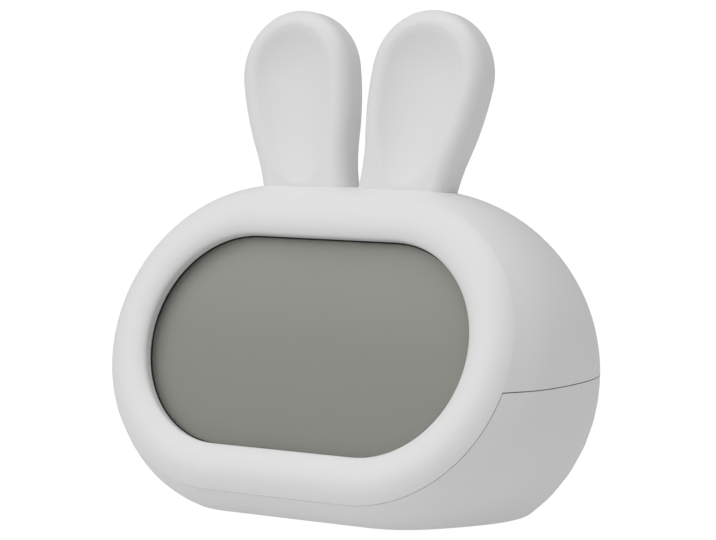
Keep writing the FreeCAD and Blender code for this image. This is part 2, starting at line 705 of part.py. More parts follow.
def small_screws(points, direction, grip):
    # the screw stops short of the end of its pilot hole
    shank = grip + SMALL_BITE - SCREW_TIP_ROOM
    return [screw(p, direction, shank, SMALL_SCREW, SMALL_HEAD, SMALL_HEAD_HEIGHT) for p in points]


def octagon(half_length, half_height, corner, front, back):
    # a plate with clipped corners in the face's frame, between two depths
    a, b, c = half_length, half_height, corner
    ends = [(-a, c - b), (c - a, -b), (a - c, -b), (a, c - b), (a, b - c), (a - c, b), (c - a, b), (-a, b - c)]
    points = [V(x, v, -back) for x, v in ends]
    return Part.Face(Part.makePolygon(points + points[:1])).extrude(V(0, 0, back - front))


def pierced(shape, points, radius, low, high):
    # holes along Z at the given places
    return shape.cut([rod(radius, V(x, y, low), high - low, Z_AXIS) for x, y in points])


def battery_door():
    front = BAY_FRONT + DOOR_GAP
    rear = DOOR_REAR - DOOR_GAP
    door = block((DOOR_GAP - DOOR_X, DOOR_X - DOOR_GAP), (front, rear), (BASE_Z, DOOR_TOP))
    added = []
    tongue = FLOOR_TOP + HOOK_ROOM
    for side in (-1, 1):
        span = (side * HOOK_X - HOOK_WIDTH / 2, side * HOOK_X + HOOK_WIDTH / 2)
        added.append(block(span, (front, front + HOOK_ROOT), (DOOR_TOP, tongue + HOOK_THICKNESS)))
        added.append(block(span, (front - HOOK_REACH, front), (tongue, tongue + HOOK_THICKNESS)))
    span = (-LATCH_WIDTH / 2, LATCH_WIDTH / 2)
    latch = BAY_REAR - LATCH_ROOM
    top = DOOR_TOP + LATCH_HEIGHT
    added.append(block(span, (latch - LATCH_THICKNESS, latch), (DOOR_TOP, top)))
    added.append(block(span, (latch, latch + LATCH_BEAD), (top - LATCH_THICKNESS, top)))
    door = door.fuse(added).removeSplitter()
    radius = (GRIP_WIDTH ** 2 / 4 + GRIP_DEPTH ** 2) / (2 * GRIP_DEPTH)
    grip = rod(radius, V(-GRIP_LENGTH / 2, rear - GRIP_WIDTH, BASE_Z + GRIP_DEPTH - radius), GRIP_LENGTH, X_AXIS)
    return door.cut(grip)


def battery_cell(row):
    # the middle cell lies the other way round
    y = BAY_Y + (row - 1) * CELL_PITCH
    tip = BAY_HALF - CONTACT
    case = rod(CELL_RADIUS, V(tip - CELL_LENGTH, 0, 0), CELL_LENGTH - CELL_NIPPLE, X_AXIS)
    nipple = rod(CELL_NIPPLE_RADIUS, V(tip - CELL_NIPPLE, 0, 0), CELL_NIPPLE, X_AXIS)
    cell = case.fuse(nipple)
    if row == 1:
        cell = cell.mirror(V(0, 0, 0), X_AXIS)
    cell.translate(V(0, y, CELL_Z))
    return cell


def battery_spring(row):
    # the space of a conical contact spring, hollow down the middle
    outside = Part.makeCone(SPRING_ROOT, SPRING_TIP, SPRING_LENGTH, V(0, 0, 0), X_AXIS)
    inside = Part.makeCone(SPRING_ROOT - SPRING_WIRE, SPRING_TIP - SPRING_WIRE, SPRING_LENGTH, V(0, 0, 0), X_AXIS)
    spring = outside.cut(inside)
    spring.translate(V(CONTACT - BAY_HALF, 0, 0))
    if row == 1:
        spring = spring.mirror(V(0, 0, 0), X_AXIS)
    spring.translate(V(0, BAY_Y + (row - 1) * CELL_PITCH, CELL_Z))
    return spring


def contact_plates():
    # one plate for each end of the battery, and one for each pair of cells that it joins
    plates = []
    height = (CELL_Z - CONTACT_HALF, CELL_Z + CONTACT_HALF)
    for side, rows in ((-1, (0, 0)), (-1, (1, 2)), (1, (0, 1)), (1, (2, 2))):
        low, high = [BAY_Y + (row - 1) * CELL_PITCH for row in rows]
        x = sorted((side * BAY_HALF, side * (BAY_HALF - CONTACT)))
        plates.append(block(x, (low - CONTACT_HALF, high + CONTACT_HALF), height))
    return plates


def lcd_frame():
    frame = stadium_plate(DISPLAY_STRAIGHT, FRAME_RADIUS, WINDOW_BACK, FRAME_BACK)
    room = POCKET_CLEARANCE
    pocket = octagon(LCD_LENGTH / 2 + room, LCD_HEIGHT / 2 + room, LCD_CORNER, 0, 2 * FRAME_BACK)
    return pierced(frame.cut(pocket), FRAME_SEATS, FRAME_SEAT_HOLE, -2 * FRAME_BACK, 0)


def display_screws():
    return small_screws([V(x, v, -BOARD_BACK) for x, v in FRAME_SEATS], Z_AXIS, BOARD + FRAME_DEPTH)


def backlight_leds():
    leds = []
    for side in (-1, 1):
        for v in (-LED_UP, LED_UP):
            x = side * (LCD_LENGTH - GUIDE_SHORT + LCD_LENGTH) / 4
            leds.append(block(
                (x - SMALL_LED / 2, x + SMALL_LED / 2),
                (v - SMALL_LED / 2, v + SMALL_LED / 2),
                (-FRAME_BACK, SMALL_LED - FRAME_BACK),
            ))
    return leds


def contact_strips():
    edge = LCD_HEIGHT / 2 - STRIP_WIDTH
    half = STRIP_WIDTH / 2
    span = (-STRIP_LENGTH / 2, STRIP_LENGTH / 2)
    return [block(span, (v - half, v + half), (-FRAME_BACK, -LCD_BACK)) for v in (-edge, edge)]


def board_parts():
    # the clock chip, a crystal can and two capacitors on the rear of the main board
    back = -BOARD_BACK
    chip = block((-CHIP / 2, CHIP / 2), (-CHIP / 2, CHIP / 2), (back - CHIP_HEIGHT, back))
    crystal = rod(CRYSTAL, V(CHIP, -CHIP / 2, back - CRYSTAL), CHIP, Y_AXIS)
    drums = [rod(DRUM, V(x, -CHIP, back - DRUM_HEIGHT), DRUM_HEIGHT, Z_AXIS) for x in (-2 * CHIP, 2 * CHIP)]
    return [chip, crystal] + drums


def tact_switch(top):
    # a square switch whose bore takes the plunger; local Z is the way out
    half = SWITCH_SIDE / 2
    switch = block((-half, half), (-half, half), (top - SWITCH_HEIGHT, top))
    return switch.cut(rod(PLUNGER_RADIUS + PLUNGER_CLEARANCE, V(0, 0, top - SWITCH_BORE_DEPTH), WALL * 2, Z_AXIS))


def on_rear(x, z):
    # local Z points out of the rear flat
    return FreeCAD.Placement(V(x, REAR_Y, z), FreeCAD.Rotation(X_AXIS, -90))


def key():
    # a round cap with a flange that holds it in its hole
    cap = rod(KEY_RADIUS, V(0, 0, FLANGE_IN - REAR_Y), REAR_Y + KEY_PROUD - FLANGE_IN, Z_AXIS)
    top = [edge for edge in cap.Edges if edge.BoundBox.ZMin > KEY_PROUD - KEY_EDGE / 2]
    cap = cap.makeFillet(KEY_EDGE, top)
    flange = rod(KEY_RADIUS + KEY_FLANGE, V(0, 0, FLANGE_IN - REAR_Y), KEY_FLANGE_THICKNESS, Z_AXIS)
    return cap.fuse(flange)


def plunger(low):
    return rod(PLUNGER_RADIUS, V(0, 0, low), PLUNGER_SHOWS + PLUNGER_SUNK, Z_AXIS)


def top_button():
    radius = TOP_BUTTON_RADIUS - TOP_BUTTON_GAP
    half = TOP_BUTTON_STRAIGHT
    cap = Part.Face(stadium(half, radius, -TOP_BUTTON_SKIRT)).extrude(V(0, 0, TOP_BUTTON_SKIRT + TOP_BUTTON_PROUD))
    cap = cap.makeFillet(TOP_BUTTON_EDGE, [e for e in cap.Edges if e.BoundBox.ZMin > TOP_BUTTON_PROUD - 0.01])
    flange_top = -WALL - TOP_BUTTON_SEAT_GAP
    flange = Part.Face(stadium(half, TOP_BUTTON_RADIUS + TOP_BUTTON_FLANGE, -TOP_BUTTON_SKIRT))
    cap = cap.fuse(flange.extrude(V(0, 0, TOP_BUTTON_SKIRT + flange_top)))
    ceiling = TOP_BUTTON_PROUD - TOP_BUTTON_SKIN
    hollow = Part.Face(stadium(half, radius - TOP_BUTTON_WALL, -TOP_BUTTON_SKIRT))
    cap = cap.cut(hollow.extrude(V(0, 0, TOP_BUTTON_SKIRT + ceiling)))
    return cap.fuse(rod(TOP_STEM, V(0, 0, -TOP_BUTTON_SKIRT), TOP_BUTTON_SKIRT + TOP_BUTTON_PROUD / 2, Z_AXIS))


def rear_board(half, height, z, seats):
    board = block((-half, half), (REAR_BOARD - BOARD, REAR_BOARD), (z - height / 2, z + height / 2))
    return board.cut([rod(FRAME_SEAT_HOLE, V(x, REAR_BOARD - 2 * BOARD, z), 3 * BOARD, Y_AXIS) for x in seats])


def speaker():
    # a basket with a stepped magnet behind and a shallow cone in front
    front = REAR_INNER - SPEAKER_FOAM
    basket = rod(SPEAKER_RADIUS, V(0, front - SPEAKER_DEPTH / 2, KEY_Z), SPEAKER_DEPTH / 2, Y_AXIS)
    magnet = rod(MAGNET_RADIUS, V(0, front - SPEAKER_DEPTH, KEY_Z), SPEAKER_DEPTH / 2, Y_AXIS)
    mouth = SPEAKER_RADIUS - CONE_MARGIN
    cone = Part.makeCone(CONE_SMALL, mouth, CONE_DEPTH, V(0, front - CONE_DEPTH, KEY_Z), Y_AXIS)
    return basket.fuse(magnet).cut(cone)


def speaker_foam():
    foam = rod(SPEAKER_RADIUS, V(0, REAR_INNER - SPEAKER_FOAM, KEY_Z), SPEAKER_FOAM, Y_AXIS)
    return foam.cut(rod(SPEAKER_RADIUS - FOAM_WIDTH, V(0, 0, KEY_Z), REAR_Y, Y_AXIS))


def usb_socket():
    # a folded metal shell round a thin tongue
    width, height = SOCKET_WIDTH / 2, SOCKET_HEIGHT / 2
    rear = REAR_BOARD + SOCKET_LENGTH
    shell = block((-width, width), (REAR_BOARD, rear), (-height, height))
    inner_width, inner_height = width - SOCKET_SKIN, height - SOCKET_SKIN
    mouth = block((-inner_width, inner_width), (REAR_BOARD + SOCKET_SKIN, rear), (-inner_height, inner_height))
    blade = block((-width / 2, width / 2), (REAR_BOARD, rear - SOCKET_SKIN), (-SOCKET_SKIN, SOCKET_SKIN))
    socket = shell.cut(mouth).fuse(blade)
    socket.translate(V(SOCKET_X, 0, POWER_Z))
    return socket


def slide_body():
    length, height, depth = SLIDE_BODY
    return block(
        (SLIDE_X - length / 2, SLIDE_X + length / 2),
        (REAR_BOARD, REAR_BOARD + depth),
        (POWER_Z - height / 2, POWER_Z + height / 2),
    )


def slide_knob():
    # at rest it stands at the off end of its travel
    x = SLIDE_X - SLIDE_TRAVEL / 2
    half, up = KNOB_WIDTH / 2, KNOB_HEIGHT / 2
    stem = block((x - half, x + half), (REAR_BOARD + SLIDE_BODY[2], REAR_Y + KNOB_PROUD), (POWER_Z - up, POWER_Z + up))
    reach = half + SLIDE_TRAVEL + 2 * KNOB_GAP
    up += KNOB_FLANGE_OVERLAP
    out = REAR_INNER - KNOB_FLANGE_GAP
    shutter = block((x - reach, x + reach), (out - KNOB_FLANGE, out), (POWER_Z - up, POWER_Z + up))
    return stem.fuse(shutter)


def light_board():
    board = block(
        (-LIGHT_BOARD_HALF, LIGHT_BOARD_HALF),
        (EAR_Y - LIGHT_BOARD_WIDTH / 2, EAR_Y + LIGHT_BOARD_WIDTH / 2),
        (LIGHT_BOARD_Z, LIGHT_BOARD_Z + LIGHT_BOARD),
    )
    return pierced(board, mirrored([(LIGHT_POST_X, EAR_Y)]), FRAME_SEAT_HOLE, 0, BIG)


def ear_leds():
    leds = []
    base = LIGHT_BOARD_Z + LIGHT_BOARD
    for x, y in mirrored([(EAR_X - LED_PAIR / 2, EAR_Y), (EAR_X + LED_PAIR / 2, EAR_Y)]):
        stem = rod(LED_RADIUS, V(x, y, base), LED_HEIGHT - LED_RADIUS, Z_AXIS)
        dome = Part.makeSphere(LED_RADIUS, V(x, y, base + LED_HEIGHT - LED_RADIUS))
        leds.append(stem.fuse(dome).removeSplitter())
    return leds


def housing_screws():
    shank = UPPER_POST_LOW + SCREW_BITE - SCREW_SEAT
    seats = [V(x, y, SCREW_SEAT) for x, y in SCREW_PLACES]
    return [screw(seat, Z_AXIS, shank, SCREW_RADIUS, SCREW_HEAD_RADIUS, SCREW_HEAD) for seat in seats]


def window_gasket():
    outside = stadium_plate(DISPLAY_STRAIGHT, DISPLAY_RADIUS + WINDOW_OVERLAP, RECESS, WINDOW_FRONT)
    return outside.cut(stadium_plate(DISPLAY_STRAIGHT, DISPLAY_RADIUS - GASKET_SHOWS, 0, 2 * WINDOW_FRONT))


def main_board():
    board = stadium_plate(DISPLAY_STRAIGHT, FRAME_RADIUS - BOARD_INSET, FRAME_BACK, BOARD_BACK)
    return pierced(board, FRAME_SEATS, FRAME_SEAT_HOLE, -2 * BOARD_BACK, 0)


def snooze_board():
    half, width = TOP_BOARD_HALF, TOP_BOARD_WIDTH / 2
    board = block((-half, half), (-width, width), (TOP_BOARD_TOP - BOARD, TOP_BOARD_TOP))
    return pierced(board, [(-TOP_POST_X, 0), (TOP_POST_X, 0)], FRAME_SEAT_HOLE, -BIG, 0)


def snooze_board_screws():
    seats = [V(side * TOP_POST_X, 0, TOP_BOARD_TOP - BOARD) for side in (-1, 1)]
    return [placed(piece, TOP) for piece in small_screws(seats, Z_AXIS, BOARD)]


def light_board_screws():
    seats = [V(side * LIGHT_POST_X, EAR_Y, LIGHT_BOARD_Z) for side in (-1, 1)]
    return small_screws(seats, Z_AXIS, LIGHT_BOARD)


def rear_screws(places, z):
    return small_screws([V(x, REAR_BOARD - BOARD, z) for x in places], Y_AXIS, BOARD)


os.makedirs("parts", exist_ok=True)

OUTER = outer_body()
INNER = inner_body(WALL)
MIDDLE = inner_body(WALL / 2)
LOWER_ZONE, UPPER_CUT = shell_zones()
save("upper_shell", upper_shell(OUTER, INNER, MIDDLE, UPPER_CUT))
save("lower_shell", lower_shell(OUTER, INNER, MIDDLE, LOWER_ZONE))
save("base_feet", solids(posts(FOOT_PLACES, FOOT_RADIUS, 0, BASE_Z + FOOT_SUNK)))
save("housing_screws", solids(housing_screws()))

save("battery_door", battery_door())
save("battery_cells", solids([battery_cell(row) for row in range(3)]))
save("battery_springs", solids([battery_spring(row) for row in range(3)]))
save("contact_plates", solids(contact_plates()))

WINDOW_RADIUS = DISPLAY_RADIUS + WINDOW_OVERLAP
GUIDE_X = (LCD_LENGTH - GUIDE_SHORT) / 2
GUIDE_UP = (LCD_HEIGHT - GUIDE_LOW) / 2
save("window_gasket", on_face(window_gasket()))
save("display_window", on_face(stadium_plate(DISPLAY_STRAIGHT, WINDOW_RADIUS, WINDOW_FRONT, WINDOW_BACK)))
save("lcd_frame", on_face(lcd_frame()))
save("lcd_panel", on_face(octagon(LCD_LENGTH / 2, LCD_HEIGHT / 2, LCD_CORNER, LCD_FRONT, LCD_BACK)))
save("light_guide", on_face(octagon(GUIDE_X, GUIDE_UP, GUIDE_CORNER, LCD_BACK, GUIDE_BACK)))
save("reflector_sheet", on_face(octagon(GUIDE_X, GUIDE_UP, GUIDE_CORNER, GUIDE_BACK, GUIDE_BACK + REFLECTOR)))
save("contact_strips", solids([on_face(strip) for strip in contact_strips()]))
save("backlight_leds", solids([on_face(led) for led in backlight_leds()]))
save("main_board", on_face(main_board()))
save("main_board_parts", solids([on_face(piece) for piece in board_parts()]))
save("display_screws", solids([on_face(piece) for piece in display_screws()]))

save("ear_light_board", light_board())
save("ear_leds", solids(ear_leds()))
save("light_board_screws", solids(light_board_screws()))

save("snooze_light_button", placed(top_button(), TOP))
save("snooze_plunger", placed(plunger(TOP_SWITCH - PLUNGER_SUNK), TOP))
save("snooze_switch", placed(tact_switch(TOP_SWITCH), TOP))
save("snooze_board", placed(snooze_board(), TOP))
save("snooze_board_screws", solids(snooze_board_screws()))

KEY_PLACES = [on_rear(x, KEY_Z) for x in KEY_X]
for name, place in zip(KEY_NAMES, KEY_PLACES):
    save(name, placed(key(), place))
    save(name + "_plunger", placed(plunger(SWITCH_TOP - PLUNGER_SUNK - REAR_Y), place))
save("key_switches", solids([placed(tact_switch(SWITCH_TOP - REAR_Y), place) for place in KEY_PLACES]))
save("key_board", rear_board(KEY_BOARD_HALF, KEY_BOARD_HEIGHT, KEY_Z, [-KEY_BOSS_X, KEY_BOSS_X]))
save("key_board_screws", solids(rear_screws([-KEY_BOSS_X, KEY_BOSS_X], KEY_Z)))

save("speaker", speaker())
save("speaker_foam", speaker_foam())
save("speaker_pad", rod(PAD_RADIUS, V(0, REAR_BOARD, KEY_Z), SPEAKER_BACK - REAR_BOARD, Y_AXIS))

save("power_board", rear_board(POWER_BOARD_HALF, POWER_BOARD_HEIGHT, POWER_Z, POWER_BOSS_X))
save("power_board_screws", solids(rear_screws(POWER_BOSS_X, POWER_Z)))
save("usb_socket", usb_socket())
save("alarm_switch_body", slide_body())
save("alarm_switch_knob", slide_knob())
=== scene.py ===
import math

import bpy
import bmesh
from mathutils import Euler, Matrix, Vector


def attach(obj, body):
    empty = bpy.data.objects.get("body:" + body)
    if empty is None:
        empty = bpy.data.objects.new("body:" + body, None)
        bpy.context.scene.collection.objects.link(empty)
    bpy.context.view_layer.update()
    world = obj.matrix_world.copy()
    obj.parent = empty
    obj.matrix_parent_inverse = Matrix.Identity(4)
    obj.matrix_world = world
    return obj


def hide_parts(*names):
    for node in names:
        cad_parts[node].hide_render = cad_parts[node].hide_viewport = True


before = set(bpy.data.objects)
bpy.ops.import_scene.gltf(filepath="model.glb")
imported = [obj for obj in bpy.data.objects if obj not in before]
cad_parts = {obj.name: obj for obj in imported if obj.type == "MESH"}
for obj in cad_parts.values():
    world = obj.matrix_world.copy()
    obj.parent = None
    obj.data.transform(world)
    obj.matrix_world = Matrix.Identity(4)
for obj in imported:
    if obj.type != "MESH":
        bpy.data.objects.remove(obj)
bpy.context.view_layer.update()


# Upper shell, lower shell and battery door: white ABS mouldings with a fine spark-eroded satin skin.
# The upper one carries the ring round the display and both ears, and the lower one is screwed to it from
# below, so that the only line between them is a hairline split. The door snaps into the base.
SHELL_WHITE = (0.80, 0.80, 0.798, 1.0)
SHELL_SHADE = (0.78, 0.78, 0.778, 1.0)
SHELL_SHINE = 0.42
GRAIN_PITCH = 0.00045
GRAIN_HEIGHT = 0.000006
GRAIN_DETAIL = 3.0
DRIFT_SCALE = 38.0
DRIFT_DETAIL = 2.0
SHINE_SPREAD = 0.08


def grey(tone):
    return (tone, tone, tone, 1.0)


def spark_grain_group():
    # the skin of a spark-eroded mould: a slow drift of tone and a fine grain in gloss and height
    group = bpy.data.node_groups.new("spark_grain", "ShaderNodeTree")
    for name, kind, value in (
        ("Pitch", "NodeSocketFloat", GRAIN_PITCH),
        ("Height", "NodeSocketFloat", GRAIN_HEIGHT),
        ("Shine", "NodeSocketFloat", SHELL_SHINE),
        ("Light", "NodeSocketColor", SHELL_WHITE),
        ("Dark", "NodeSocketColor", SHELL_SHADE),
    ):
        socket = group.interface.new_socket(name=name, in_out="INPUT", socket_type=kind)
        socket.default_value = value
    for name, kind in (("Colour", "Color"), ("Roughness", "Float"), ("Normal", "Vector")):
        group.interface.new_socket(name=name, in_out="OUTPUT", socket_type="NodeSocket" + kind)
    nodes, links = group.nodes, group.links
    inside = nodes.new("NodeGroupInput")
    out = nodes.new("NodeGroupOutput")
    place = nodes.new("ShaderNodeTexCoord")
    pitch = nodes.new("ShaderNodeMath")
    pitch.operation = "DIVIDE"
    pitch.inputs[0].default_value = 1.0
    links.new(inside.outputs["Pitch"], pitch.inputs[1])
    fine = nodes.new("ShaderNodeTexNoise")
    fine.inputs["Detail"].default_value = GRAIN_DETAIL
    links.new(place.outputs["Object"], fine.inputs["Vector"])
    links.new(pitch.outputs[0], fine.inputs["Scale"])
    broad = nodes.new("ShaderNodeTexNoise")
    broad.inputs["Scale"].default_value = DRIFT_SCALE
    broad.inputs["Detail"].default_value = DRIFT_DETAIL
    links.new(place.outputs["Object"], broad.inputs["Vector"])
    tone = nodes.new("ShaderNodeMix")
    tone.data_type = "RGBA"
    links.new(broad.outputs["Fac"], tone.inputs["Factor"])
    links.new(inside.outputs["Dark"], tone.inputs["A"])
    links.new(inside.outputs["Light"], tone.inputs["B"])
    links.new(tone.outputs["Result"], out.inputs["Colour"])
    vary = nodes.new("ShaderNodeMath")
    vary.operation = "MULTIPLY_ADD"
    vary.inputs[1].default_value = SHINE_SPREAD
    links.new(fine.outputs["Fac"], vary.inputs[0])
    links.new(inside.outputs["Shine"], vary.inputs[2])
    links.new(vary.outputs[0], out.inputs["Roughness"])
    bump = nodes.new("ShaderNodeBump")
    links.new(inside.outputs["Height"], bump.inputs["Distance"])
    links.new(fine.outputs["Fac"], bump.inputs["Height"])
    links.new(bump.outputs["Normal"], out.inputs["Normal"])
    return group


SPARK_GRAIN = spark_grain_group()


def moulded(name, light, dark, shine, pitch=GRAIN_PITCH, height=GRAIN_HEIGHT):
    # one finish: the grain group with its own colours, gloss and size
    material = bpy.data.materials.new(name)
    material.use_nodes = True
    nodes, links = material.node_tree.nodes, material.node_tree.links
    surface = nodes["Principled BSDF"]
    grain = nodes.new("ShaderNodeGroup")
    grain.node_tree = SPARK_GRAIN
    grain.inputs["Light"].default_value = light
    grain.inputs["Dark"].default_value = dark
    grain.inputs["Shine"].default_value = shine
    grain.inputs["Pitch"].default_value = pitch
    grain.inputs["Height"].default_value = height
    links.new(grain.outputs["Colour"], surface.inputs["Base Color"])
    links.new(grain.outputs["Roughness"], surface.inputs["Roughness"])
    links.new(grain.outputs["Normal"], surface.inputs["Normal"])
    return material


def finish_nodes(material, *names):
    # gives their finish to CAD nodes that show
    for name in names:
        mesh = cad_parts[name].data
        mesh.materials.clear()
        mesh.materials.append(material)


shell_white = moulded("shell_white", SHELL_WHITE, SHELL_SHADE, SHELL_SHINE)
finish_nodes(shell_white, "upper_shell", "lower_shell", "battery_door")


# Display: a clear acrylic window on a thin black foam line, over a blank reflective panel whose glass is a
# warm grey-green while it is off, with a painted reflection that makes it lighter towards the top. A white
# frame, a light guide and a foil hold it from behind.
WINDOW_ALPHA = 0.25
LCD_TINT = (0.985, 1.0, 0.885)
LCD_PAINTED_REFLECTION_TONES = [(0.0, 0.27), (0.5, 0.345), (0.85, 0.50), (1.0, 0.62)]
LCD_LOW = 0.018
LCD_HIGH = 0.085

foam_dark = moulded(
    "foam_dark", light=grey(0.012), dark=grey(0.008), shine=0.9, pitch=0.0003, height=0.00003,
)
finish_nodes(foam_dark, "window_gasket", "speaker_foam")

lcd_grey = moulded("lcd_grey", light=grey(0.3), dark=grey(0.3), shine=0.45, pitch=0.0003, height=0.000001)
# painted reflection and light: the panel is coloured by height from darker at the bottom to lighter at the
# top, standing in for the bright room mirrored in the window and offsetting the ring's shadow near the top
nodes, links = lcd_grey.node_tree.nodes, lcd_grey.node_tree.links
place = nodes.new("ShaderNodeTexCoord")
split = nodes.new("ShaderNodeSeparateXYZ")
rise = nodes.new("ShaderNodeMapRange")
rise.inputs["From Min"].default_value = LCD_LOW
rise.inputs["From Max"].default_value = LCD_HIGH
painted_reflection_ramp = nodes.new("ShaderNodeValToRGB")
for step, tone in LCD_PAINTED_REFLECTION_TONES[1:-1]:
    painted_reflection_ramp.color_ramp.elements.new(step)
for stop, (step, tone) in zip(painted_reflection_ramp.color_ramp.elements, LCD_PAINTED_REFLECTION_TONES):
    stop.position = step
    stop.color = [tone * c for c in LCD_TINT] + [1.0]
links.new(place.outputs["Object"], split.inputs["Vector"])
links.new(split.outputs["Z"], rise.inputs["Value"])
links.new(rise.outputs["Result"], painted_reflection_ramp.inputs["Fac"])
links.new(painted_reflection_ramp.outputs["Color"], nodes["Principled BSDF"].inputs["Base Color"])
finish_nodes(lcd_grey, "lcd_panel")

window_clear = moulded(
    "window_clear", light=(0.36, 0.37, 0.33, 1.0), dark=(0.34, 0.35, 0.31, 1.0), shine=0.08, pitch=0.02,
    height=0.000001,
)
window_clear.node_tree.nodes["Principled BSDF"].inputs["Alpha"].default_value = WINDOW_ALPHA
finish_nodes(window_clear, "display_window")

inner_white = moulded("inner_white", light=(0.62, 0.62, 0.60, 1.0), dark=(0.58, 0.58, 0.56, 1.0), shine=0.55)
finish_nodes(inner_white, "lcd_frame", "reflector_sheet")

guide_clear = moulded("guide_clear", light=(0.75, 0.78, 0.78, 1.0), dark=(0.7, 0.74, 0.75, 1.0), shine=0.2)
finish_nodes(guide_clear, "light_guide")

led_warm = moulded("led_warm", light=(0.85, 0.78, 0.5, 1.0), dark=(0.8, 0.72, 0.42, 1.0), shine=0.15)
finish_nodes(led_warm, "backlight_leds", "ear_leds")


# Circuit boards and their parts: green solder mask over copper tracks, black moulded chips and switches.
# They are screwed to the display frame and to bosses inside the shells.
TRACK_PITCH = 0.0011
TRACK_RUN = 0.0135
TRACK_GAP = TRACK_PITCH / 12
MASK_GREEN = (0.018, 0.13, 0.055, 1.0)
MASK_SHADE = (0.014, 0.115, 0.048, 1.0)
TRACK_GREEN = (0.045, 0.24, 0.10, 1.0)

board_green = moulded("board_green", MASK_GREEN, MASK_SHADE, shine=0.3)
nodes, links = board_green.node_tree.nodes, board_green.node_tree.links
track = nodes.new("ShaderNodeTexBrick")
track.inputs["Color1"].default_value = MASK_GREEN
track.inputs["Color2"].default_value = MASK_SHADE
track.inputs["Mortar"].default_value = TRACK_GREEN
track.inputs["Scale"].default_value = 1.0
track.inputs["Mortar Size"].default_value = TRACK_GAP
track.inputs["Brick Width"].default_value = TRACK_RUN
track.inputs["Row Height"].default_value = TRACK_PITCH
place = nodes.new("ShaderNodeTexCoord")
split = nodes.new("ShaderNodeSeparateXYZ")
across = nodes.new("ShaderNodeMath")
flat = nodes.new("ShaderNodeCombineXYZ")
links.new(place.outputs["Object"], split.inputs["Vector"])
links.new(split.outputs["Y"], across.inputs[0])
links.new(split.outputs["Z"], across.inputs[1])
links.new(split.outputs["X"], flat.inputs["X"])
links.new(across.outputs["Value"], flat.inputs["Y"])
links.new(flat.outputs["Vector"], track.inputs["Vector"])
links.new(track.outputs["Color"], nodes["Principled BSDF"].inputs["Base Color"])
finish_nodes(board_green, "main_board", "ear_light_board", "snooze_board", "key_board", "power_board")

part_black = moulded("part_black", light=grey(0.02), dark=grey(0.012), shine=0.4)
finish_nodes(
    part_black, "main_board_parts", "snooze_switch", "key_switches", "alarm_switch_body", "snooze_plunger",
    "set_key_plunger", "alarm_key_plunger", "minus_key_plunger", "plus_key_plunger",
)


# Keys: four white caps with dished tops in the rear of the upper shell, held behind it by their flanges,
# and the long snooze and light button behind the ears. Raised bars mark the minus and plus keys.
REAR_Y = 0.0419566
KEY_X = {"set_key": -0.031, "alarm_key": -0.017, "minus_key": 0.017, "plus_key": 0.031}
KEY_Z = 0.0553
KEY_RADIUS = 0.0035
KEY_SHOULDER = 0.0007
KEY_PROUD = 0.0012
DISH_BOTTOM = 0.00092
FLANGE_RADIUS = 0.0046
FLANGE_BACK = -0.0036
FLANGE_FRONT = -0.0025
BAR_LENGTH = 0.0030
BAR_WIDTH = 0.0006
BAR_LOW = 0.0008
BAR_HIGH = 0.00112
TO_REAR = Matrix.Rotation(math.radians(-90), 4, "X")
LATHE_STEPS = 64


def turned(profile, steps=LATHE_STEPS):
    # spins (radius, height) pairs about Z into a closed mesh
    mesh = bpy.data.meshes.new("turned")
    shape = bmesh.new()
    rings = []
    for radius, height in profile:
        angles = [2 * math.pi * k / steps for k in range(steps)] if radius else [0.0]
        rings.append([shape.verts.new((radius * math.cos(a), radius * math.sin(a), height)) for a in angles])
    for low, high in zip(rings, rings[1:]):
        for k in range(steps):
            after = (k + 1) % steps
            corners = []
            for ring, step in ((low, k), (low, after), (high, after), (high, k)):
                vert = ring[step % len(ring)]
                if vert not in corners:
                    corners.append(vert)
            if len(corners) > 2:
                shape.faces.new(corners)
    bmesh.ops.remove_doubles(shape, verts=shape.verts[:], dist=1e-7)
    bmesh.ops.recalc_face_normals(shape, faces=shape.faces)
    shape.to_mesh(mesh)
    shape.free()
    return mesh


def copied(mesh, moves, material):
    # the same shape at several places as one mesh
    shape = bmesh.new()
    for move in moves:
        one = mesh.copy()
        one.transform(move)
        shape.from_mesh(one)
        bpy.data.meshes.remove(one)
    whole = bpy.data.meshes.new("copied")
    shape.to_mesh(whole)
    shape.free()
    whole.materials.append(material)
    return whole


def new_piece(name, mesh, body, slot, *replaced):
    # a finished mesh becomes a piece of the clock
    mesh.name = name
    mesh.shade_smooth()
    mesh.set_sharp_from_angle(angle=math.radians(35))
    piece = bpy.data.objects.new(name, mesh)
    bpy.context.scene.collection.objects.link(piece)
    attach(piece, body)
    if replaced:
        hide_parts(*replaced)
    return piece


def raised_bar(turn):
    # one rounded bar lying in the dish of a key
    mesh = bpy.data.meshes.new("bar")
    shape = bmesh.new()
    bmesh.ops.create_cube(shape, size=1.0)
    size = Matrix.Diagonal((BAR_LENGTH, BAR_WIDTH, BAR_HIGH - BAR_LOW, 1.0))
    level = Matrix.Translation((0, 0, (BAR_LOW + BAR_HIGH) / 2))
    shape.transform(level @ Matrix.Rotation(turn, 4, "Z") @ size)
    bmesh.ops.bevel(shape, geom=shape.edges[:], offset=BAR_WIDTH / 6, segments=2, affect="EDGES")
    shape.to_mesh(mesh)
    shape.free()
    return mesh


key_white = moulded("key_white", light=(0.78, 0.78, 0.775, 1.0), dark=(0.76, 0.76, 0.755, 1.0), shine=0.34)
mark_grey = moulded("mark_grey", light=(0.20, 0.20, 0.205, 1.0), dark=(0.17, 0.17, 0.175, 1.0), shine=0.45)
finish_nodes(key_white, "snooze_light_button", "alarm_switch_knob")

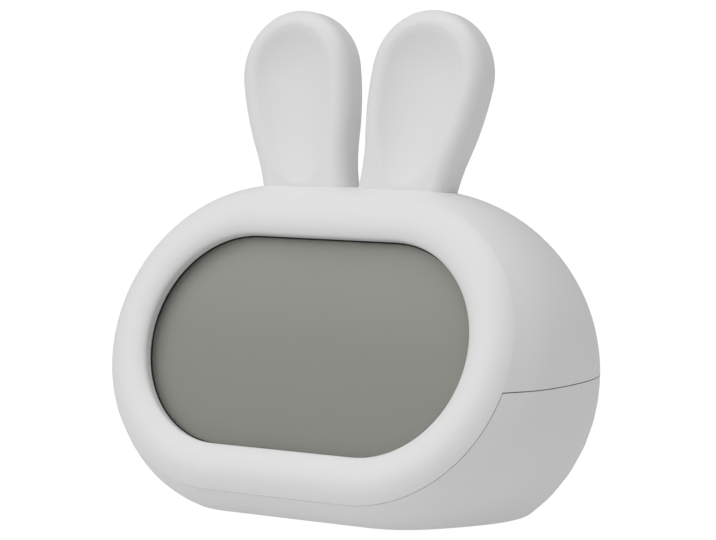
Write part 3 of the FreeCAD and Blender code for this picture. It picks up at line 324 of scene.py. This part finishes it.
cap = turned([
    (0, FLANGE_BACK), (FLANGE_RADIUS, FLANGE_BACK), (FLANGE_RADIUS, FLANGE_FRONT),
    (KEY_RADIUS, FLANGE_FRONT), (KEY_RADIUS, KEY_SHOULDER), (0.00346, 0.0009), (0.00335, 0.00105),
    (0.0032, 0.00115), (0.0030, KEY_PROUD), (0.0028, 0.00118), (0.0024, 0.00108), (0.0016, 0.00098),
    (0.0008, 0.00093), (0, DISH_BOTTOM),
])
for name, x in KEY_X.items():
    seat = Matrix.Translation((x, REAR_Y, KEY_Z)) @ TO_REAR
    new_piece(name + "_cap", copied(cap, [seat], key_white), name, "key_white", name)
    turns = {"minus_key": [0.0], "plus_key": [0.0, math.radians(90)]}.get(name, [])
    for k, turn in enumerate(turns):
        new_piece("%s_bar_%d" % (name, k), copied(raised_bar(turn), [seat], mark_grey), name, "key_white")


# Slide switch and power socket: the alarm switch has three grip ribs on its knob, and the socket is a
# folded plated shell round a black tongue with five gilt contacts. Both sit on the power board.
POWER_Z = 0.034
REAR_BOARD = 0.0338566
KNOB_X = 0.0125
KNOB_PROUD = 0.00104
KNOB_RIBS = dict(count=3, pitch=0.0009, width=0.0003, depth=0.00022, height=0.0026)
SOCKET_X = -0.017
FINGER_REACH = 0.0030
FINGER_RISE = 0.00037
SOCKET_FINGERS = dict(count=5, pitch=0.00065, width=0.0003, depth=0.0034, height=0.00008)
UPRIGHT = (0.0, 0.0, 0.0)


class PieceTree:
    # a Geometry Nodes tree that sets copies of one shape on seats: named sizes in, one plain mesh out

    def __init__(self, name, **sizes):
        self.tree = bpy.data.node_groups.new(name, "GeometryNodeTree")
        sockets = self.tree.interface
        sockets.new_socket(name="Geometry", in_out="INPUT", socket_type="NodeSocketGeometry")
        for label, value in sizes.items():
            kind = "NodeSocketInt" if isinstance(value, int) else "NodeSocketFloat"
            sockets.new_socket(name=label, in_out="INPUT", socket_type=kind).default_value = value
        sockets.new_socket(name="finish", in_out="INPUT", socket_type="NodeSocketMaterial")
        sockets.new_socket(name="Geometry", in_out="OUTPUT", socket_type="NodeSocketGeometry")
        self.inside = self.tree.nodes.new("NodeGroupInput").outputs

    def add(self, kind, *values, **settings):
        # one node, with its settings and then its inputs by name: a number, a link or a list of links
        node = self.tree.nodes.new(kind)
        for label, value in settings.items():
            setattr(node, label, value)
        for label, value in values:
            for one in value if isinstance(value, list) else [value]:
                if isinstance(one, bpy.types.NodeSocket):
                    self.tree.links.new(one, node.inputs[label])
                else:
                    node.inputs[label].default_value = one
        return node.outputs[0]

    def sum(self, operation, *terms):
        return self.add("ShaderNodeMath", *enumerate(terms), operation=operation)

    def vector(self, x=0.0, y=0.0, z=0.0):
        return self.add("ShaderNodeCombineXYZ", ("X", x), ("Y", y), ("Z", z))

    def lifted(self, shape, height):
        move = self.vector(z=height)
        return self.add("GeometryNodeTransform", ("Geometry", shape), ("Translation", move))

    def block(self, x, y, z):
        return self.add("GeometryNodeMeshCube", ("Size", self.vector(x, y, z)))

    def cylinder(self, radius, depth, sides):
        size = [("Vertices", sides), ("Radius", radius), ("Depth", depth)]
        return self.add("GeometryNodeMeshCylinder", *size)

    def circle(self, radius, sides):
        return self.add("GeometryNodeCurvePrimitiveCircle", ("Resolution", sides), ("Radius", radius))

    def tube(self, path, radius, sides):
        ring = self.circle(radius, sides)
        sweep = [("Curve", path), ("Profile Curve", ring), ("Fill Caps", True)]
        return self.add("GeometryNodeCurveToMesh", *sweep)

    def joined(self, *shapes):
        return self.add("GeometryNodeJoinGeometry", ("Geometry", list(shapes)))

    def cut(self, shape, *tools):
        return self.add(
            "GeometryNodeMeshBoolean", ("Mesh 1", shape), ("Mesh 2", list(tools)),
            operation="DIFFERENCE", solver="EXACT",
        )

    def fused(self, *shapes):
        return self.add(
            "GeometryNodeMeshBoolean", ("Mesh 2", list(shapes)), operation="UNION", solver="EXACT",
        )

    def finish(self, shape):
        # copies on the seats, each turned by its seat's own angles
        turn = self.add("GeometryNodeInputNamedAttribute", ("Name", "turn"), data_type="FLOAT_VECTOR")
        spin = self.add("FunctionNodeEulerToRotation", ("Euler", turn))
        copies = self.add(
            "GeometryNodeInstanceOnPoints",
            ("Points", self.inside["Geometry"]), ("Instance", shape), ("Rotation", spin),
        )
        plain = self.add("GeometryNodeRealizeInstances", ("Geometry", copies))
        material = self.inside["finish"]
        dressed = self.add("GeometryNodeSetMaterial", ("Geometry", plain), ("Material", material))
        out = self.tree.nodes.new("NodeGroupOutput")
        self.tree.links.new(dressed, out.inputs["Geometry"])
        return self.tree


def set_out(tree, seats, material, **sizes):
    # runs a tree on its seats, each a place and its turning angles, and returns the plain mesh
    points = bpy.data.meshes.new("seats")
    points.from_pydata([place for place, turn in seats], [], [])
    turns = points.attributes.new("turn", "FLOAT_VECTOR", "POINT")
    for k, (place, turn) in enumerate(seats):
        turns.data[k].vector = turn
    holder = bpy.data.objects.new("seats", points)
    bpy.context.scene.collection.objects.link(holder)
    grow = holder.modifiers.new("grow", "NODES")
    grow.node_group = tree
    values = dict(sizes, finish=material)
    for item in tree.interface.items_tree:
        if item.in_out == "INPUT" and item.name in values:
            grow[item.identifier] = values[item.name]
    graph = bpy.context.evaluated_depsgraph_get()
    mesh = bpy.data.meshes.new_from_object(holder.evaluated_get(graph))
    holder.modifiers.clear()
    bpy.data.objects.remove(holder)
    return mesh


def bar_tree():
    # a row of small bars, spaced along X about its seat
    grow = PieceTree("bar_row", **KNOB_RIBS)
    size = grow.inside
    bar = grow.block(size["width"], size["depth"], size["height"])
    gaps = grow.sum("SUBTRACT", size["count"], 1.0)
    start = grow.sum("MULTIPLY", grow.sum("MULTIPLY", gaps, size["pitch"]), -0.5)
    line = grow.add(
        "GeometryNodeMeshLine", ("Count", size["count"]), ("Start Location", grow.vector(start)),
        ("Offset", grow.vector(size["pitch"])),
    )
    return grow.finish(grow.add("GeometryNodeInstanceOnPoints", ("Points", line), ("Instance", bar)))


def plated(name, colour, shine):
    # bare or plated metal: the grain group again, with a metal's reflection
    darker = [0.9 * c for c in colour] + [1.0]
    material = moulded(name, (*colour, 1.0), darker, shine, pitch=0.0002, height=0.000002)
    material.node_tree.nodes["Principled BSDF"].inputs["Metallic"].default_value = 1.0
    return material


BAR_ROW = bar_tree()
knob_top = (KNOB_X, REAR_Y + KNOB_PROUD, POWER_Z)
ribs = set_out(BAR_ROW, [(knob_top, UPRIGHT)], key_white, **KNOB_RIBS)
new_piece("knob_ribs", ribs, "alarm_switch_knob", "key_white")

gilt = plated("gilt", (0.85, 0.62, 0.25), 0.22)
tongue = (SOCKET_X, REAR_BOARD + FINGER_REACH, POWER_Z + FINGER_RISE)
fingers = set_out(BAR_ROW, [(tongue, UPRIGHT)], gilt, **SOCKET_FINGERS)
new_piece("socket_contacts", fingers, "housing", "contact_nickel")


# Speaker: a 20 mm driver in a pressed steel basket, with a black paper cone and a dust cap, held against a
# foam ring behind the grille by a rubber pad.
SPEAKER_FACE = REAR_Y - 0.0029
SPEAKER_RADIUS = 0.0100
SPEAKER_DEPTH = 0.0040
SPEAKER_BACK_PLATE = -0.0020
BASKET_MOUTH = 0.0093
BASKET_FLOOR = -0.0016
BASKET_EDGE = 0.0004
BASKET_LIP = -0.0017
MAGNET_RADIUS = 0.0065
MAGNET_EDGE = 0.0002
CONE_BACK = -0.0015
CONE_EDGE = -0.0012
ROLL_EDGE = -0.0002
CAP_TOP = -0.0006

basket_steel = plated("basket_steel", (0.42, 0.42, 0.43), 0.35)
cone_paper = moulded(
    "cone_paper", light=grey(0.03), dark=grey(0.018), shine=0.8, pitch=0.0004, height=0.00003,
)
face = Matrix.Translation((0.0, SPEAKER_FACE, KEY_Z)) @ TO_REAR
basket = turned([
    (0, -SPEAKER_DEPTH), (MAGNET_RADIUS - MAGNET_EDGE, -SPEAKER_DEPTH),
    (MAGNET_RADIUS, MAGNET_EDGE - SPEAKER_DEPTH), (MAGNET_RADIUS, SPEAKER_BACK_PLATE),
    (SPEAKER_RADIUS - BASKET_EDGE, SPEAKER_BACK_PLATE), (SPEAKER_RADIUS, BASKET_LIP),
    (SPEAKER_RADIUS, 0.0), (BASKET_MOUTH, 0.0), (BASKET_MOUTH, BASKET_FLOOR), (0, BASKET_FLOOR),
])
cone = turned([
    (BASKET_MOUTH, CONE_EDGE), (BASKET_MOUTH, ROLL_EDGE), (0.0090, -0.00005), (0.0086, 0.0),
    (0.0082, -0.0001), (0.0079, -0.0004), (0.0033, -0.0013), (0.0030, -0.0012), (0.0024, -0.0009),
    (0.0015, -0.0007), (0, CAP_TOP), (0, CONE_BACK), (BASKET_MOUTH, CONE_EDGE),
])
new_piece("speaker_basket", copied(basket, [face], basket_steel), "housing", "part_black", "speaker")
new_piece("speaker_cone", copied(cone, [face], cone_paper), "housing", "part_black", "speaker")


# Battery contacts: conical springs wound from nickel-plated wire press on each cell's minus end, and
# folded plates join the cells. They slide into slots at the ends of the bay.
CELL_PITCH = 0.0112
CELL_Y = -0.0025
CELL_Z = 0.0080
BAY_HALF = 0.02485
CONTACT = 0.0005
CONE_SPRING = dict(length=0.0042, wire=0.00025, root=0.0036, tip=0.0026, turns=5.0)


def spring_tree():
    grow = PieceTree("cone_spring", **CONE_SPRING)
    size = grow.inside
    room = grow.sum("SUBTRACT", size["length"], grow.sum("MULTIPLY", size["wire"], 2.0))
    coil = grow.add(
        "GeometryNodeCurveSpiral", ("Resolution", 32), ("Rotations", size["turns"]),
        ("Start Radius", grow.sum("SUBTRACT", size["root"], size["wire"])),
        ("End Radius", grow.sum("SUBTRACT", size["tip"], size["wire"])), ("Height", room),
    )
    return grow.finish(grow.lifted(grow.tube(coil, size["wire"], 10), size["wire"]))


contact_nickel = plated("contact_nickel", (0.66, 0.64, 0.6), 0.28)
finish_nodes(contact_nickel, "contact_plates", "usb_socket")
seats = []
for row, side in ((-1, -1), (0, 1), (1, -1)):
    place = (side * (BAY_HALF - CONTACT), CELL_Y + row * CELL_PITCH, CELL_Z)
    seats.append((place, (0.0, math.radians(-90 * side), 0.0)))
springs = set_out(spring_tree(), seats, contact_nickel, **CONE_SPRING)
new_piece("wound_springs", springs, "housing", "contact_nickel", "battery_springs")


# Battery cells: three AAA cells side by side in the base, the middle one turned round. Each is a steel can
# in a film sleeve, with a copper-coloured band at its plus end.
CELL_LENGTH = 0.0445
CELL_RADIUS = 0.0052
CELL_STEPS = 48
CAN_RADIUS = 0.00505
CAN_EDGE = 0.0012
CAN_SHOULDER = CELL_LENGTH - 0.0009
NIPPLE_ROOT = 0.0020
NIPPLE_TIP = 0.0016
FILM_LIP = 0.0044
FILM_EDGE = 0.0049
FILM_START = 0.00045
FILM_FULL = 0.0009
BAND_START = 0.0340
BAND_FULL = 0.0427
BAND_END = 0.0434
FOLD_UNDER = 0.0001
FOLD_BACK = 0.0003

can = turned([
    (0, 0.0001), (0.0030, 0.0001), (0.0033, 0.0), (0.0046, 0.0), (0.0050, 0.0004), (CAN_RADIUS, CAN_EDGE),
    (CAN_RADIUS, CAN_SHOULDER - CAN_EDGE), (0.0048, CAN_SHOULDER - 0.0002), (0.0044, CAN_SHOULDER),
    (NIPPLE_ROOT, CAN_SHOULDER), (0.0019, CAN_SHOULDER + 0.0001), (0.0018, CELL_LENGTH - 0.0001),
    (NIPPLE_TIP, CELL_LENGTH), (0, CELL_LENGTH),
], CELL_STEPS)
sleeve = turned([
    (FILM_LIP, FILM_START), (FILM_EDGE, FILM_START), (CELL_RADIUS, FILM_FULL), (CELL_RADIUS, BAND_START),
    (CELL_RADIUS - FOLD_UNDER, BAND_START), (FILM_LIP, BAND_START), (FILM_LIP, FILM_START),
], CELL_STEPS)
band = turned([
    (FILM_LIP, BAND_START), (CELL_RADIUS, BAND_START), (CELL_RADIUS, BAND_FULL),
    (FILM_EDGE, BAND_END - FOLD_BACK), (0.0040, BAND_END), (0.0040, BAND_END - FOLD_BACK),
    (FILM_LIP, BAND_FULL), (FILM_LIP, BAND_START),
], CELL_STEPS)
moves = []
for row, side in ((-1, 1), (0, -1), (1, 1)):
    foot = side * (BAY_HALF - CONTACT - CELL_LENGTH)
    seat = Matrix.Translation((foot, CELL_Y + row * CELL_PITCH, CELL_Z))
    moves.append(seat @ Matrix.Rotation(math.radians(90 * side), 4, "Y"))
can_steel = plated("can_steel", (0.62, 0.62, 0.61), 0.25)
cell_band = plated("cell_band", (0.72, 0.40, 0.22), 0.3)
cell_jacket = moulded(
    "cell_jacket", light=(0.035, 0.04, 0.045, 1.0), dark=(0.02, 0.024, 0.03, 1.0), shine=0.22, pitch=0.0003,
    height=0.000002,
)
for name, shape, material in (
    ("cell_cans", can, can_steel), ("cell_sleeves", sleeve, cell_jacket), ("cell_bands", band, cell_band),
):
    new_piece(name, copied(shape, moves, material), "housing", "cell_jacket", "battery_cells")


# Screws: plated steel thread-forming screws with a cross recess in a pan head. Four come up through the
# lower shell's tubes and hold the housing shut, and small ones hold the display frame and the boards.
ORIGIN = Vector((0.0, 0.0, 0.0))
FACE_LEAN = math.radians(70.5)
FACE_MIDDLE = Vector((0.0, -0.0275434, 0.0523))
TOP_LEAN = math.radians(-28.47)
TOP_MIDDLE = Vector((0.0, 0.022907, 0.089917))
REAR_LEAN = math.radians(-90)
REAR_SEAT = 0.0322566
BIG_SCREW = dict(shank=0.0113, radius=0.00134, head=0.0028, rise=0.0020, pitch=0.0011, groove=0.00022)
SMALL_SCREW = dict(radius=0.00099, head=0.0019, rise=0.0013, pitch=0.0008, groove=0.00016)
SHORT_SCREW = dict(SMALL_SCREW, shank=0.0049)
BOARD_SCREW = dict(SMALL_SCREW, shank=0.0053)
FRAME_SCREW = dict(SMALL_SCREW, shank=0.0113)
DRUM_SHARE = 0.55
CROSS_LENGTH = 1.15
CROSS_WIDTH = 0.24
CROSS_MIDDLE = 0.95
SCREW_SETS = {
    "housing": (BIG_SCREW, 0.0, ORIGIN, [
        (side * x, y, 0.03965) for x, y in ((0.046, 0.0), (0.024, 0.024)) for side in (1, -1)
    ]),
    "display": (FRAME_SCREW, FACE_LEAN, FACE_MIDDLE, [
        (side * x, v, -0.012) for x, v in ((0.0616, 0.0), (0.02, 0.0374), (0.02, -0.0374)) for side in (1, -1)
    ]),
    "light_board": (SHORT_SCREW, 0.0, ORIGIN, [(x, 0.0024566, 0.088) for x in (-0.031, 0.031)]),
    "snooze_board": (BOARD_SCREW, TOP_LEAN, TOP_MIDDLE, [(x, 0.0, -0.0103) for x in (-0.0156, 0.0156)]),
    "key_board": (BOARD_SCREW, REAR_LEAN, ORIGIN, [(x, -KEY_Z, REAR_SEAT) for x in (-0.024, 0.024)]),
    "power_board": (BOARD_SCREW, REAR_LEAN, ORIGIN, [(x, -POWER_Z, REAR_SEAT) for x in (-0.002, 0.0245)]),
}


def screw_tree():
    grow = PieceTree("pan_screw", **BIG_SCREW)
    size = grow.inside
    core = grow.sum("SUBTRACT", size["radius"], size["groove"])
    turns = grow.sum("DIVIDE", size["shank"], size["pitch"])
    shank = grow.lifted(grow.cylinder(core, size["shank"], 24), grow.sum("MULTIPLY", size["shank"], 0.5))
    spiral = grow.add(
        "GeometryNodeCurveSpiral", ("Resolution", 20), ("Rotations", turns),
        ("Start Radius", core), ("End Radius", core), ("Height", size["shank"]),
    )
    thread = grow.tube(spiral, size["groove"], 4)
    drum = grow.cylinder(size["head"], grow.sum("MULTIPLY", size["rise"], DRUM_SHARE), 40)
    drum = grow.lifted(drum, grow.sum("MULTIPLY", size["rise"], -DRUM_SHARE / 2))
    ball = grow.add("GeometryNodeMeshUVSphere", ("Segments", 40), ("Rings", 16), ("Radius", size["head"]))
    flat = grow.sum("DIVIDE", grow.sum("MULTIPLY", size["rise"], 1 - DRUM_SHARE), size["head"])
    top = grow.add(
        "GeometryNodeTransform", ("Geometry", ball), ("Scale", grow.vector(1.0, 1.0, flat)),
        ("Translation", grow.vector(z=grow.sum("MULTIPLY", size["rise"], -DRUM_SHARE))),
    )
    long = grow.sum("MULTIPLY", size["head"], CROSS_LENGTH)
    thin = grow.sum("MULTIPLY", size["head"], CROSS_WIDTH)
    deep = grow.sum("MULTIPLY", size["rise"], -CROSS_MIDDLE)
    arms = [grow.lifted(grow.block(x, y, size["rise"]), deep) for x, y in ((long, thin), (thin, long))]
    head = grow.cut(grow.fused(drum, top), *arms)
    return grow.finish(grow.joined(shank, thread, head))


def seated(places, lean, origin):
    # seats given in a leaning frame, as places in the clock's own frame and their turning angles
    turn = Euler((lean, 0.0, 0.0))
    return [(origin + turn.to_matrix() @ Vector(place), tuple(turn)) for place in places]


PAN_SCREW = screw_tree()
screw_steel = plated("screw_steel", (0.55, 0.55, 0.56), 0.32)
for name, (sizes, lean, origin, places) in SCREW_SETS.items():
    screws = set_out(PAN_SCREW, seated(places, lean, origin), screw_steel, **sizes)
    new_piece(name + "_pan_screws", screws, "housing", "screw_steel", name + "_screws")


# Feet: four grey silicone rubber discs with three anti-slip ridges, glued into round seats under the base.
# They carry the clock 0.8 mm above the table.
RIDGED_FOOT = dict(radius=0.0049, height=0.00125, lift=0.00035, pitch=0.00145)
RIDGES = 3
FOOT_PLACES = [(0.034, -0.017), (-0.034, -0.017), (0.038, 0.017), (-0.038, 0.017)]


def foot_tree():
    grow = PieceTree("ridged_foot", **RIDGED_FOOT)
    size = grow.inside
    middle = grow.sum("MULTIPLY_ADD", size["height"], 0.5, size["lift"])
    shapes = [grow.lifted(grow.cylinder(size["radius"], size["height"], 48), middle)]
    for ring in range(1, RIDGES + 1):
        path = grow.circle(grow.sum("MULTIPLY", size["pitch"], float(ring)), 48)
        shapes.append(grow.lifted(grow.tube(path, size["lift"], 10), size["lift"]))
    return grow.finish(grow.joined(*shapes))


rubber_grey = moulded(
    "rubber_grey", light=(0.12, 0.12, 0.125, 1.0), dark=(0.09, 0.09, 0.095, 1.0), shine=0.75, pitch=0.0006,
    height=0.00002,
)
finish_nodes(rubber_grey, "speaker_pad", "contact_strips")
seats = [((x, y, 0.0), UPRIGHT) for x, y in FOOT_PLACES]
feet = set_out(foot_tree(), seats, rubber_grey, **RIDGED_FOOT)
new_piece("ridged_feet", feet, "housing", "rubber_grey", "base_feet")


# Studio: a pale floor that reads as white, two broad soft lamps, from the upper left and from above, and
# an even fill. The floor sends a measured part of the light back up, so undersides stay a soft grey.
FLOOR_HALF = 3.0
FLOOR_BOUNCE = grey(0.30)
FLOOR_GLOW = 0.44
FLOOR_WHITE = 1.05
FLOOR_SHADOW = 0.05
SHADOW_WHITE = grey(0.95)
LAMP_SPREAD = math.radians(50)
LAMPS = {"front_lamp": (0.80, (-0.5, -0.85, 0.6)), "top_lamp": (1.03, (0.1, -0.2, 1.0))}
FILL_STRENGTH = 0.40
BACKDROP_STRENGTH = 1.05
WHITE = grey(1.0)


def seen_by_camera(tree, seen, otherwise, surface):
    # the camera sees one shader, and all other light meets another
    path = tree.nodes.new("ShaderNodeLightPath")
    pick = tree.nodes.new("ShaderNodeMixShader")
    tree.links.new(path.outputs["Is Camera Ray"], pick.inputs["Fac"])
    tree.links.new(otherwise, pick.inputs[1])
    tree.links.new(seen, pick.inputs[2])
    tree.links.new(pick.outputs["Shader"], surface)


floor_mesh = bpy.data.meshes.new("studio_floor")
corners = [(-1, -1), (1, -1), (1, 1), (-1, 1)]
floor_mesh.from_pydata([(x * FLOOR_HALF, y * FLOOR_HALF, 0) for x, y in corners], [], [(0, 1, 2, 3)])
floor = bpy.data.objects.new("studio_floor", floor_mesh)
bpy.context.scene.collection.objects.link(floor)
floor_pale = moulded("floor_pale", FLOOR_BOUNCE, FLOOR_BOUNCE, shine=0.8, pitch=0.01, height=0.00001)
nodes, links = floor_pale.node_tree.nodes, floor_pale.node_tree.links
bounce = nodes["Principled BSDF"]
bounce.inputs["Emission Color"].default_value = WHITE
bounce.inputs["Emission Strength"].default_value = FLOOR_GLOW
glow = nodes.new("ShaderNodeEmission")
glow.inputs["Strength"].default_value = FLOOR_WHITE
catch = nodes.new("ShaderNodeBsdfDiffuse")
catch.inputs["Color"].default_value = SHADOW_WHITE
shown = nodes.new("ShaderNodeMixShader")
shown.inputs["Fac"].default_value = FLOOR_SHADOW
links.new(glow.outputs["Emission"], shown.inputs[1])
links.new(catch.outputs["BSDF"], shown.inputs[2])
surface = nodes["Material Output"].inputs["Surface"]
seen_by_camera(floor_pale.node_tree, shown.outputs["Shader"], bounce.outputs["BSDF"], surface)
floor_mesh.materials.append(floor_pale)

world = bpy.data.worlds.new("studio_white")
world.use_nodes = True
bpy.context.scene.world = world
nodes = world.node_tree.nodes
backdrop = nodes.new("ShaderNodeBackground")
for shader, strength in ((backdrop, BACKDROP_STRENGTH), (nodes["Background"], FILL_STRENGTH)):
    shader.inputs["Color"].default_value = WHITE
    shader.inputs["Strength"].default_value = strength
surface = nodes["World Output"].inputs["Surface"]
fill = nodes["Background"].outputs["Background"]
seen_by_camera(world.node_tree, backdrop.outputs["Background"], fill, surface)

for name, (strength, direction) in LAMPS.items():
    light = bpy.data.lights.new(name, "SUN")
    light.energy = strength
    light.angle = LAMP_SPREAD
    lamp = bpy.data.objects.new(name, light)
    lamp.rotation_euler = Vector(direction).to_track_quat("Z", "Y").to_euler()
    bpy.context.scene.collection.objects.link(lamp)


# Camera: a long lens a little to the right of the face and a hand above the table. It aims at the middle
# of the display, from where the frame is shifted up and to the right.
CAMERA_TURN = math.radians(33.454)
CAMERA_LIFT = math.radians(4.954)
CAMERA_REACH = 0.785665
CAMERA_ACROSS = 0.016244
CAMERA_UP = 0.021218
CAMERA_LENS = 135.75
CAMERA_SENSOR = 36.0
CAMERA_NEAR = 0.05
CAMERA_AIM = Vector((0.0, -0.027543, 0.0523))

level = math.cos(CAMERA_LIFT)
back = Vector((math.sin(CAMERA_TURN) * level, -math.cos(CAMERA_TURN) * level, math.sin(CAMERA_LIFT)))
right = Vector((math.cos(CAMERA_TURN), math.sin(CAMERA_TURN), 0.0))
up = back.cross(right)
camera = bpy.data.objects.new("camera", bpy.data.cameras.new("camera"))
camera.data.lens = CAMERA_LENS
camera.data.sensor_width = CAMERA_SENSOR
camera.data.clip_start = CAMERA_NEAR
turn = Matrix((right, up, back)).transposed().to_4x4()
place = CAMERA_AIM + CAMERA_ACROSS * right + CAMERA_UP * up + CAMERA_REACH * back
camera.matrix_world = Matrix.Translation(place) @ turn
bpy.context.scene.collection.objects.link(camera)
bpy.context.scene.camera = camera
bpy.context.scene.view_settings.view_transform = "Standard"
